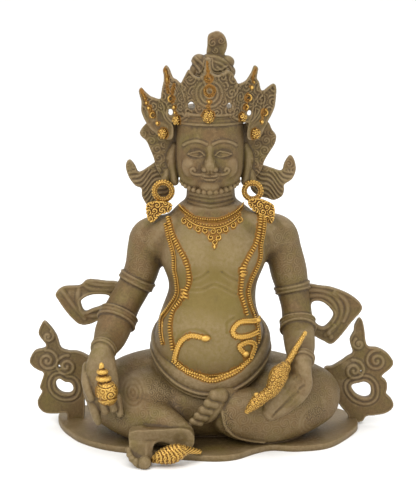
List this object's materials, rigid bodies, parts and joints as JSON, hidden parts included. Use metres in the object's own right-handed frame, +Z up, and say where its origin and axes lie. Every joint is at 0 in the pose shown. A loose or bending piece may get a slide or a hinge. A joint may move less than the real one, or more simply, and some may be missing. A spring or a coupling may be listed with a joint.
{
  "type": "seated kubera statue",
  "caption": "Seated, full-bellied Kubera with a leaf crown, garlands and scarf loops, cast in one with leaf scrolls at its sides and a thin lobed base.",
  "frame": {"origin": "on the flat underside of the base, below the middle of the seated figure", "axes": "+Z up, the figure looks along -Y, its own right hand is at -X"},
  "size_m": [0.2779, 0.1364, 0.3002],
  "materials": {
    "antique_brass": "matte olive-brown antique patina, darker in the carving",
    "gilding": "hand-rubbed gold on the ornaments, brown in the recesses"
  },
  "bodies": {
    "root": {"kubera_statue": "antique_brass"}
  },
  "joints": []
}
